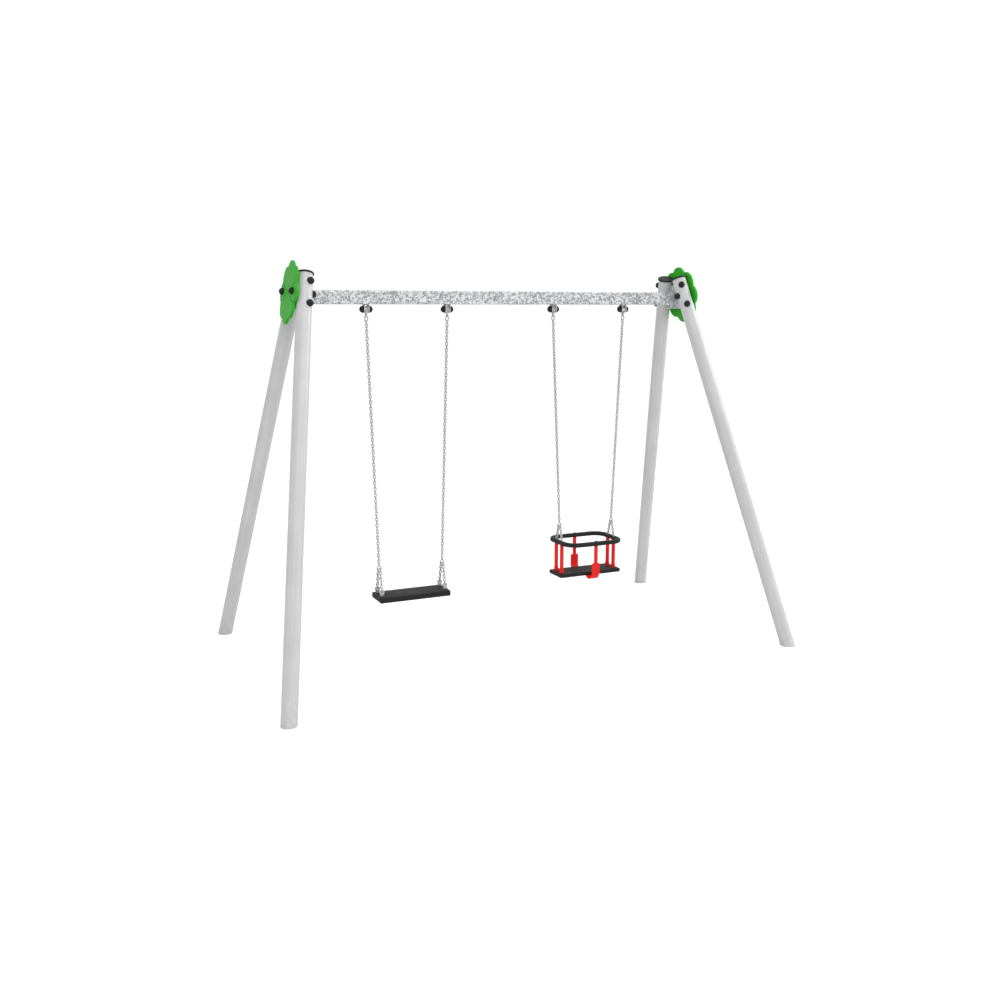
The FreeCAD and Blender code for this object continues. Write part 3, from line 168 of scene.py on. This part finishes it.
def spangle_group():
    """Zinc crystals of hot-dip galvanising: overlapping needle-shaped patches."""
    tree, given = new_group(
        "zinc_spangle",
        {"Vector": ("Vector", None), "Crystals": ("Float", 90.0), "Contrast": ("Float", 1.0)},
        {"Shade": "Float", "Height": "Float"},
    )
    wobble = put(tree, "ShaderNodeTexNoise", {"Vector": given["Vector"], "Scale": 60.0, "Detail": 2.0})
    half = (0.5, 0.5, 0.5)
    shift = put(tree, "ShaderNodeVectorMath", {0: wobble.outputs["Color"], 1: half}, operation="SUBTRACT")
    small = put(tree, "ShaderNodeVectorMath", {0: shift.outputs[0], "Scale": 0.006}, operation="SCALE")
    bent = put(tree, "ShaderNodeVectorMath", {0: given["Vector"], 1: small.outputs[0]}).outputs[0]
    shades = []
    for turn, squeeze in (
        ((0.3, 0.7, 0.2), (0.55, 1.0, 1.0)),
        ((0.9, -0.9, 0.5), (1.0, 1.0, 0.55)),
        ((-0.4, 1.3, -0.8), (0.8, 1.0, 1.0)),
    ):
        laid = put(tree, "ShaderNodeMapping", {"Vector": bent, "Rotation": turn, "Scale": squeeze}).outputs[0]
        cells = put(
            tree,
            "ShaderNodeTexVoronoi",
            {"Vector": laid, "Scale": given["Crystals"], "Randomness": 1.0},
        )
        split = put(tree, "ShaderNodeSeparateColor", {0: cells.outputs["Color"]})
        shades.append(split.outputs[0])
    total = calc(tree, "ADD", calc(tree, "ADD", shades[0], shades[1]), shades[2])
    level = calc(tree, "DIVIDE", total, 3.0)
    fine = noise_value(tree, bent, 420.0, 2.0)
    level = calc(tree, "ADD", level, calc(tree, "MULTIPLY", calc(tree, "SUBTRACT", fine, 0.5), 0.35))
    centred = calc(tree, "MULTIPLY", calc(tree, "SUBTRACT", level, 0.5), given["Contrast"])
    shade = calc(tree, "ADD", calc(tree, "MULTIPLY", centred, 2.2), 0.5, clamp=True)
    return close_group(tree, Shade=shade, Height=level)


def grain_group():
    """Fine moulded or sprayed surface: even pebbles with a broad drift."""
    tree, given = new_group(
        "fine_grain",
        {"Vector": ("Vector", None), "Pebbles": ("Float", 700.0)},
        {"Height": "Float", "Speckle": "Float", "Drift": "Float"},
    )
    pebbles = put(
        tree,
        "ShaderNodeTexVoronoi",
        {"Vector": given["Vector"], "Scale": given["Pebbles"]},
        feature="SMOOTH_F1",
    ).outputs["Distance"]
    speckle = noise_value(tree, given["Vector"], calc(tree, "MULTIPLY", given["Pebbles"], 0.6), 2.0, 0.6)
    drift = noise_value(tree, given["Vector"], 7.0, 3.0, 0.55)
    height = calc(tree, "ADD", calc(tree, "MULTIPLY", pebbles, 0.7), calc(tree, "MULTIPLY", speckle, 0.5))
    return close_group(tree, Height=height, Speckle=speckle, Drift=drift)


def edge_group():
    """Mask of the outer edges, broken up as handling rubs them."""
    tree, given = new_group(
        "edge_rub",
        {"Vector": ("Vector", None), "Width": ("Float", 0.002), "Breakup": ("Float", 60.0)},
        {"Mask": "Float"},
    )
    rounded = put(tree, "ShaderNodeBevel", {"Radius": given["Width"]}, samples=4).outputs[0]
    facing = put(tree, "ShaderNodeNewGeometry").outputs["Normal"]
    same = put(tree, "ShaderNodeVectorMath", {0: rounded, 1: facing}, operation="DOT_PRODUCT")
    edge = remap(tree, calc(tree, "SUBTRACT", 1.0, same.outputs["Value"]), 0.01, 0.12)
    patchy = remap(tree, noise_value(tree, given["Vector"], given["Breakup"], 3.0), 0.38, 0.62)
    return close_group(tree, Mask=calc(tree, "MULTIPLY", edge, patchy, clamp=True))


def streak_group():
    """Draw marks and rain runs that follow a direction."""
    tree, given = new_group(
        "long_streaks",
        {"Vector": ("Vector", None), "Along": ("Vector", (0.0, 0.0, 1.0)), "Fineness": ("Float", 60.0)},
        {"Mask": "Float", "Height": "Float"},
    )
    span = put(
        tree, "ShaderNodeVectorMath", {0: given["Vector"], 1: given["Along"]}, operation="DOT_PRODUCT"
    ).outputs["Value"]
    part = put(
        tree,
        "ShaderNodeVectorMath",
        {0: given["Along"], "Scale": calc(tree, "MULTIPLY", span, 0.97)},
        operation="SCALE",
    ).outputs[0]
    rest = put(tree, "ShaderNodeVectorMath", {0: given["Vector"], 1: part}, operation="SUBTRACT")
    squeezed = rest.outputs[0]
    lines = noise_value(tree, squeezed, given["Fineness"], 4.0, 0.6)
    broad = noise_value(tree, squeezed, calc(tree, "MULTIPLY", given["Fineness"], 0.25), 2.0)
    mask = remap(tree, calc(tree, "MULTIPLY", calc(tree, "ADD", lines, broad), 0.5), 0.36, 0.66)
    return close_group(tree, Mask=mask, Height=lines)


def splash_group():
    """Dry soil splashed up from the ground, fading with height."""
    tree, given = new_group(
        "soil_splash",
        {"Vector": ("Vector", None), "Reach": ("Float", 0.35), "Amount": ("Float", 0.5)},
        {"Mask": "Float"},
    )
    height = put(tree, "ShaderNodeSeparateXYZ", {0: given["Vector"]}).outputs["Z"]
    low = calc(tree, "SUBTRACT", 1.0, calc(tree, "DIVIDE", height, given["Reach"]), clamp=True)
    spots = remap(tree, noise_value(tree, given["Vector"], 45.0, 5.0, 0.65), 0.4, 0.72)
    film = calc(tree, "MULTIPLY", calc(tree, "POWER", low, 2.0), spots)
    return close_group(tree, Mask=calc(tree, "MULTIPLY", film, given["Amount"], clamp=True))


GROUPS = {
    "spangle": spangle_group(),
    "grain": grain_group(),
    "edge": edge_group(),
    "streak": streak_group(),
    "splash": splash_group(),
}


def use(tree, group, **values):
    """Place a shared group with its own values."""
    node = tree.nodes.new("ShaderNodeGroup")
    node.node_tree = GROUPS[group]
    for name, value in values.items():
        if isinstance(value, bpy.types.NodeSocket):
            tree.links.new(value, node.inputs[name])
        else:
            node.inputs[name].default_value = value
    return node.outputs


def new_finish(name, **shader_values):
    """Material with a Principled shader; gives the material, tree, shader and coordinates."""
    material = bpy.data.materials.new(name)
    material.use_nodes = True
    tree = material.node_tree
    shader = tree.nodes["Principled BSDF"]
    for socket, value in shader_values.items():
        shader.inputs[socket.replace("_", " ")].default_value = value
    place = put(tree, "ShaderNodeTexCoord").outputs["Object"]
    return material, tree, shader, place


def feed(tree, shader, height=None, strength=0.2, distance=0.0005, **sockets):
    """Connect varying values to the shader, and a height through a Bump node."""
    for socket, value in sockets.items():
        tree.links.new(value, shader.inputs[socket.replace("_", " ")])
    if height is not None:
        bump = put(tree, "ShaderNodeBump", {"Height": height, "Strength": strength, "Distance": distance})
        tree.links.new(bump.outputs[0], shader.inputs["Normal"])


def rgb(red, green, blue):
    return (red, green, blue, 1.0)


SOIL = rgb(0.30, 0.25, 0.19)


# ------------------------------------------------------------------ finishes


def leg_finish(name, along):
    """Light grey powder coat over drawn tube."""
    material, tree, shader, place = new_finish(name, Metallic=0.0, Coat_Roughness=0.25)
    streak = use(tree, "streak", Vector=place, Along=along, Fineness=55.0)
    grain = use(tree, "grain", Vector=place, Pebbles=420.0)
    splash = use(tree, "splash", Vector=place, Reach=0.30, Amount=0.28)
    rub = use(tree, "edge", Vector=place, Width=0.0015)
    coat = blend(tree, streak["Mask"], rgb(0.64, 0.64, 0.645), rgb(0.72, 0.72, 0.725))
    coat = blend(tree, remap(tree, grain["Drift"], 0.35, 0.65, 0.0, 0.35), coat, rgb(0.58, 0.585, 0.60))
    coat = blend(tree, rub["Mask"], coat, rgb(0.5, 0.5, 0.5))
    coat = blend(tree, splash["Mask"], coat, SOIL)
    rough = calc(tree, "ADD", remap(tree, streak["Mask"], 0.0, 1.0, 0.36, 0.46), splash["Mask"], clamp=True)
    gloss = remap(tree, splash["Mask"], 0.0, 0.4, 0.25, 0.0)
    feed(tree, shader, grain["Height"], 0.08, 0.0004, Base_Color=coat, Roughness=rough, Coat_Weight=gloss)
    return material


def zinc_finish(name, light, dark, crystals, contrast, rough):
    """Hot-dip zinc with visible crystals."""
    material, tree, shader, place = new_finish(name, Metallic=0.35)
    spangle = use(tree, "spangle", Vector=place, Crystals=crystals, Contrast=contrast)
    rub = use(tree, "edge", Vector=place, Width=0.0015)
    colour = blend(tree, spangle["Shade"], dark, light)
    colour = blend(tree, calc(tree, "MULTIPLY", rub["Mask"], 0.4), colour, rgb(0.78, 0.79, 0.80))
    roughness = remap(tree, spangle["Shade"], 0.0, 1.0, rough, rough - 0.16)
    feed(tree, shader, spangle["Height"], 0.12, 0.0004, Base_Color=colour, Roughness=roughness)
    return material


def chain_finish(name, light, dark, rough):
    """Small bright-zinc parts that rub on each other."""
    material, tree, shader, place = new_finish(name, Metallic=0.7)
    grain = use(tree, "grain", Vector=place, Pebbles=900.0)
    patch = remap(tree, noise_value(tree, place, 160.0, 3.0), 0.35, 0.65)
    colour = blend(tree, patch, dark, light)
    colour = blend(tree, remap(tree, grain["Drift"], 0.5, 0.75, 0.0, 0.25), colour, rgb(0.45, 0.45, 0.44))
    roughness = remap(tree, patch, 0.0, 1.0, rough + 0.1, rough)
    feed(tree, shader, grain["Height"], 0.15, 0.0002, Base_Color=colour, Roughness=roughness)
    return material


def moulded_finish(name, colour, worn, pebbles, rough, bump, edge_width=0.0012, drift=0.12, soil=0.0):
    """Moulded plastic or rubber with fine grain and paler rubbed edges."""
    material, tree, shader, place = new_finish(name, Metallic=0.0, Specular_IOR_Level=0.28)
    grain = use(tree, "grain", Vector=place, Pebbles=pebbles)
    rub = use(tree, "edge", Vector=place, Width=edge_width, Breakup=80.0)
    shade = blend(tree, remap(tree, grain["Drift"], 0.3, 0.7, 0.0, drift), colour, worn)
    shade = blend(tree, remap(tree, grain["Speckle"], 0.45, 0.75, 0.0, drift), shade, worn)
    shade = blend(tree, calc(tree, "MULTIPLY", rub["Mask"], 0.45), shade, worn)
    roughness = remap(tree, grain["Drift"], 0.3, 0.7, rough - 0.05, rough + 0.06)
    if soil:
        dust = remap(tree, noise_value(tree, place, 26.0, 5.0, 0.7), 0.5, 0.8, 0.0, soil)
        shade = blend(tree, dust, shade, SOIL)
        roughness = calc(tree, "ADD", roughness, dust, clamp=True)
    feed(tree, shader, grain["Height"], bump, 0.0003, Base_Color=shade, Roughness=roughness)
    return material


def sheet_finish(name, colour, pale_and_highlight, deep):
    """Coloured HDPE sheet: fine orange peel, faint planing marks, and edges painted a brighter green as a
    painted highlight.
    """
    material, tree, shader, place = new_finish(name, Metallic=0.0, Specular_IOR_Level=0.2)
    grain = use(tree, "grain", Vector=place, Pebbles=650.0)
    planed = use(tree, "streak", Vector=place, Along=(0.0, 0.0, 1.0), Fineness=90.0)
    rub = use(tree, "edge", Vector=place, Width=0.003, Breakup=40.0)
    shade = blend(tree, calc(tree, "MULTIPLY", planed["Mask"], 0.15), colour, pale_and_highlight)
    shade = blend(tree, remap(tree, grain["Drift"], 0.35, 0.7, 0.0, 0.3), shade, deep)
    # Painted highlight: the edge mask blends the panel edges to the brighter green, standing in for light
    # catching them.
    shade = blend(tree, calc(tree, "MULTIPLY", rub["Mask"], 0.8), shade, pale_and_highlight)
    roughness = remap(tree, grain["Speckle"], 0.3, 0.7, 0.42, 0.55)
    feed(tree, shader, grain["Height"], 0.14, 0.0003, Base_Color=shade, Roughness=roughness)
    return material


LEG_FOOT = Vector((1.609, 0.882, 0.0))
LEG_CROWN = Vector((1.262, 0.1225, 2.181))
LEAN = (LEG_FOOT - LEG_CROWN).normalized()
LEG_SIDES = {
    "leg_front_left": (-1, -1),
    "leg_front_right": (1, -1),
    "leg_rear_left": (-1, 1),
    "leg_rear_right": (1, 1),
}

beam_zinc = zinc_finish(
    "beam_zinc",
    light=rgb(0.92, 0.93, 0.95),
    dark=rgb(0.36, 0.37, 0.385),
    crystals=125.0,
    contrast=1.5,
    rough=0.52,
)
bracket_zinc = zinc_finish(
    "bracket_zinc",
    light=rgb(0.82, 0.83, 0.85),
    dark=rgb(0.34, 0.35, 0.36),
    crystals=125.0,
    contrast=1.4,
    rough=0.5,
)
chain_zinc = chain_finish("chain_zinc", light=rgb(0.72, 0.72, 0.71), dark=rgb(0.50, 0.50, 0.49), rough=0.32)
bolt_zinc = chain_finish("bolt_zinc", light=rgb(0.66, 0.66, 0.65), dark=rgb(0.45, 0.45, 0.44), rough=0.34)
cap_plastic = moulded_finish(
    "cap_plastic",
    colour=rgb(0.013, 0.013, 0.0145),
    worn=rgb(0.04, 0.04, 0.042),
    pebbles=900.0,
    rough=0.5,
    bump=0.12,
)
panel_green = sheet_finish(
    "panel_green",
    colour=rgb(0.034, 0.48, 0.017),
    pale_and_highlight=rgb(0.048, 0.62, 0.028),
    deep=rgb(0.026, 0.42, 0.013),
)
seat_rubber = moulded_finish(
    "seat_rubber",
    colour=rgb(0.012, 0.012, 0.0125),
    worn=rgb(0.027, 0.027, 0.028),
    pebbles=620.0,
    rough=0.62,
    bump=0.22,
    drift=0.3,
    soil=0.05,
)
upright_red = moulded_finish(
    "upright_red",
    colour=rgb(0.98, 0.012, 0.011),
    worn=rgb(0.98, 0.032, 0.028),
    pebbles=800.0,
    rough=0.40,
    bump=0.08,
    drift=0.25,
)
bush_acetal = moulded_finish(
    "bush_acetal",
    colour=rgb(0.78, 0.77, 0.72),
    worn=rgb(0.6, 0.59, 0.55),
    pebbles=900.0,
    rough=0.4,
    bump=0.05,
)

FINISHES = {
    "galvanised": bracket_zinc,
    "chain_steel": chain_zinc,
    "fastener_steel": bolt_zinc,
    "black_plastic": cap_plastic,
    "green_panel": panel_green,
    "seat_rubber": seat_rubber,
    "red_plastic": upright_red,
    "bush_plastic": bush_acetal,
}


def dress(thing, material):
    thing.data.materials.clear()
    thing.data.materials.append(material)


def dress_frame():
    """Give every CAD node the finish of its material slot."""
    for entry in frame["record"]["subparts"]:
        name, slot = entry["node"], entry["material_slot"]
        if name in LEG_SIDES:
            x_side, y_side = LEG_SIDES[name]
            along = (LEAN.x * x_side, LEAN.y * y_side, LEAN.z)
            dress(nodes[name], leg_finish(name + "_paint", along))
        else:
            dress(nodes[name], FINISHES[slot])
    dress(nodes["crossbeam"], beam_zinc)


# ------------------------------------------------------------------ moulded soft parts


def body_of(node):
    return next(body for body, members in bodies.items() if node in members)


def welded_copy(node):
    """Closed mesh of a CAD node with its split vertices joined."""
    mesh = nodes[node].data.copy()
    shell = bmesh.new()
    shell.from_mesh(mesh)
    bmesh.ops.remove_doubles(shell, verts=shell.verts, dist=1e-5)
    shell.to_mesh(mesh)
    shell.free()
    return mesh


def baked(thing):
    """Replace a thing's mesh by the result of its modifiers."""
    graph = bpy.context.evaluated_depsgraph_get()
    made = bpy.data.meshes.new_from_object(thing.evaluated_get(graph))
    thing.modifiers.clear()
    thing.data = made


def keep_outer_shell(thing):
    """Drop closed inner pockets: keep only the piece of mesh with the most faces."""
    shell = bmesh.new()
    shell.from_mesh(thing.data)
    unseen = set(shell.verts)
    islands = []
    while unseen:
        front = [unseen.pop()]
        island = set(front)
        while front:
            vert = front.pop()
            for edge in vert.link_edges:
                other = edge.other_vert(vert)
                if other in unseen:
                    unseen.discard(other)
                    island.add(other)
                    front.append(other)
        islands.append(island)
    islands.sort(key=len)
    for island in islands[:-1]:
        bmesh.ops.delete(shell, geom=list(island), context="VERTS")
    shell.to_mesh(thing.data)
    shell.free()


def raise_surface(mesh, relief):
    """Move every vertex along its normal by relief(point, normal)."""
    count = len(mesh.vertices)
    points = np.empty(count * 3, np.float32)
    normals = np.empty(count * 3, np.float32)
    mesh.vertices.foreach_get("co", points)
    mesh.vertex_normals.foreach_get("vector", normals)
    points = points.reshape(count, 3)
    normals = normals.reshape(count, 3)
    lifts = [relief(Vector(point), Vector(normal)) for point, normal in zip(points, normals)]
    points += normals * np.array(lifts, np.float32)[:, None]
    mesh.vertices.foreach_set("co", points.ravel())
    mesh.update()


def moulded_piece(node, name, material, slot, voxel, passes, relief=None):
    """Soft-edged moulding that fills a CAD node's shape."""
    thing = bpy.data.objects.new(name, welded_copy(node))
    bpy.context.scene.collection.objects.link(thing)
    remesh = thing.modifiers.new("skin", "REMESH")
    remesh.mode = "VOXEL"
    remesh.voxel_size = voxel
    soften = thing.modifiers.new("soften", "SMOOTH")
    soften.factor = 0.5
    soften.iterations = passes
    baked(thing)
    keep_outer_shell(thing)
    if relief:
        raise_surface(thing.data, relief)
    thing.data.shade_smooth()
    dress(thing, material)
    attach(thing, body_of(node))
    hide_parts(node)


def poured_waviness(depth, fineness):
    """Relief of poured rubber: a faint, broad unevenness."""

    def relief(point, normal):
        return depth * noise.noise(point * fineness)

    return relief


SEAT_VOXEL = 0.0018
RING_VOXEL = 0.0016
PADDLE_VOXEL = 0.0010


def make_soft_parts():
    """Rubber seats and grab ring, and the two plastic paddles."""
    seat_waves = poured_waviness(0.0003, 38.0)
    ring_waves = poured_waviness(0.0004, 30.0)
    rubber = (seat_rubber, "seat_rubber")
    plastic = (upright_red, "red_plastic")
    moulded_piece("flat_seat", "flat_seat_rubber", *rubber, SEAT_VOXEL, 4, seat_waves)
    moulded_piece("cradle_seat", "cradle_seat_rubber", *rubber, SEAT_VOXEL, 4, seat_waves)
    moulded_piece("grab_ring", "grab_ring_rubber", *rubber, RING_VOXEL, 5, ring_waves)
    for side in ("front", "rear"):
        moulded_piece(side + "_paddle", side + "_paddle_moulding", *plastic, PADDLE_VOXEL, 4)


# ------------------------------------------------------------------ floor and finish


def make_floor():
    """Plain pale floor, lifted to the backdrop's white for the camera."""
    mesh = bpy.data.meshes.new("floor")
    sheet = bmesh.new()
    bmesh.ops.create_grid(sheet, x_segments=4, y_segments=4, size=FLOOR_HALF)
    sheet.to_mesh(mesh)
    sheet.free()
    floor = bpy.data.objects.new("floor", mesh)
    bpy.context.scene.collection.objects.link(floor)
    material, tree, shader, _ = new_finish("floor_white", Roughness=0.9, Base_Color=FLOOR_GREY)
    shader.inputs["Specular IOR Level"].default_value = 0.0
    shader.inputs["Emission Color"].default_value = rgb(1.0, 1.0, 1.0)
    seen = put(tree, "ShaderNodeLightPath").outputs["Is Camera Ray"]
    tree.links.new(calc(tree, "MULTIPLY", seen, FLOOR_LIFT), shader.inputs["Emission Strength"])
    dress(floor, material)


make_camera()
make_studio()
make_floor()
dress_frame()
make_soft_parts()
